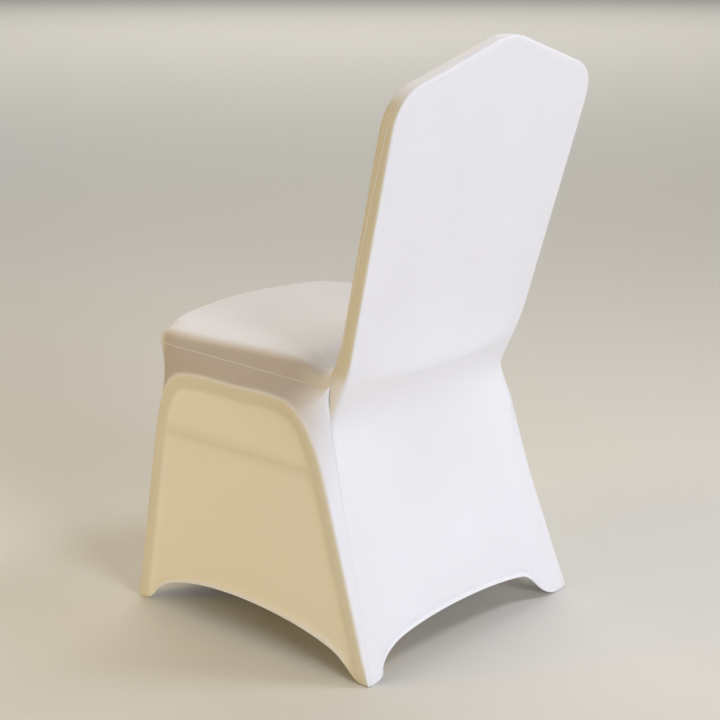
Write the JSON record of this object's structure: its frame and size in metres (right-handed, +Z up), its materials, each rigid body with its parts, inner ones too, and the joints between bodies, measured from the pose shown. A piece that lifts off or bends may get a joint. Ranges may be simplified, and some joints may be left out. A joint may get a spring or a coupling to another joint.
{
  "type": "stretch chair cover",
  "caption": "Stretch cover that fits over a stacking chair, with a shaped backrest, arched hems and a pocket at each foot.",
  "frame": {"origin": "the mount under the middle of the crown, where the cover hangs on the chair's backrest", "axes": "+Z up, +Y towards the rear of the chair, +X towards the side panel named right, which is the near side in the picture"},
  "size_m": [0.4966, 0.558, 0.9198],
  "materials": {
    "back_panel": "white stretch knit, matt with a soft sheen",
    "front_panel": "white stretch knit, matt with a soft sheen",
    "side_panel_right": "white stretch knit, matt with a soft sheen",
    "side_panel_left": "white stretch knit, matt with a soft sheen",
    "rear_foot_pocket_right": "white stretch knit, matt with a soft sheen",
    "rear_foot_pocket_left": "white stretch knit, matt with a soft sheen",
    "front_foot_pocket_right": "white stretch knit, matt with a soft sheen",
    "front_foot_pocket_left": "white stretch knit, matt with a soft sheen"
  },
  "bodies": {
    "root": {"back_panel": "back_panel", "front_panel": "front_panel", "side_panel_right": "side_panel_right", "side_panel_left": "side_panel_left", "rear_foot_pocket_right": "rear_foot_pocket_right", "rear_foot_pocket_left": "rear_foot_pocket_left", "front_foot_pocket_right": "front_foot_pocket_right", "front_foot_pocket_left": "front_foot_pocket_left"}
  },
  "joints": []
}
